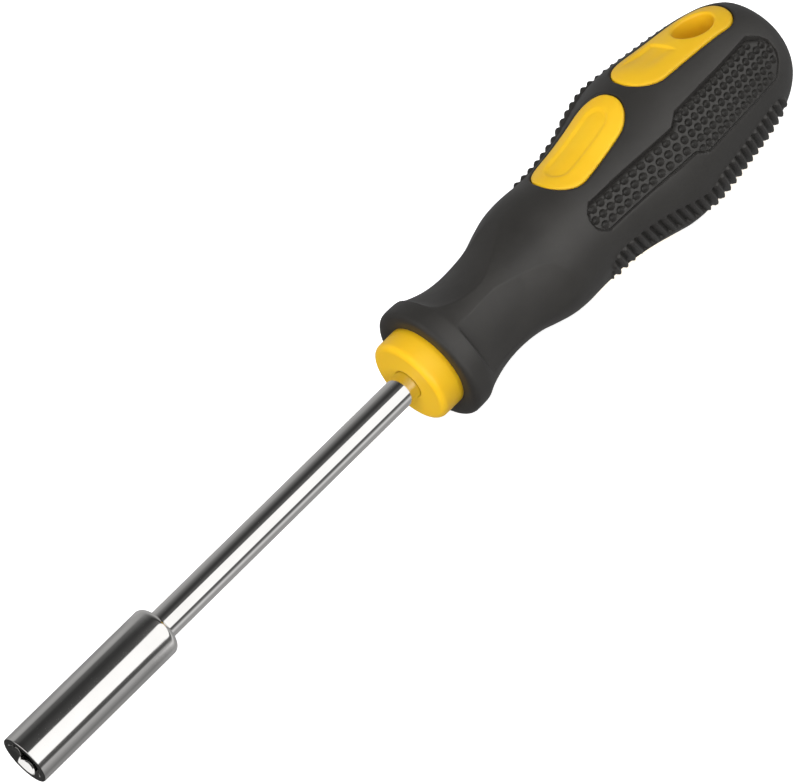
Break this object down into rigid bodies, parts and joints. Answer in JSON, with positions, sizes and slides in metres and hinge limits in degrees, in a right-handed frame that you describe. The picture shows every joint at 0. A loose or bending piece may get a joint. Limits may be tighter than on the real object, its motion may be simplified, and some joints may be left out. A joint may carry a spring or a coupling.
{
  "type": "bit holder screwdriver",
  "caption": "Hand screwdriver with a fixed round shaft, a chromed hex bit sleeve with a holding magnet, and a hard yellow handle core under a soft ribbed grip with a hang hole.",
  "frame": {"origin": "centre of the mouth of the bit socket, at the very front of the tool", "axes": "+X along the shaft from the socket towards the handle, +Z along the hang hole"},
  "size_m": [0.2159, 0.0342, 0.034],
  "materials": {
    "sleeve_chrome": "polished chrome plate",
    "magnet": "nickel plated",
    "shaft_chrome": "polished chrome plate",
    "yellow_plastic": "satin moulded",
    "black_soft": "matt moulded"
  },
  "bodies": {
    "root": {"bit_sleeve": "sleeve_chrome", "socket_magnet": "magnet", "shaft": "shaft_chrome", "handle_core": "yellow_plastic", "soft_grip": "black_soft"}
  },
  "joints": []
}
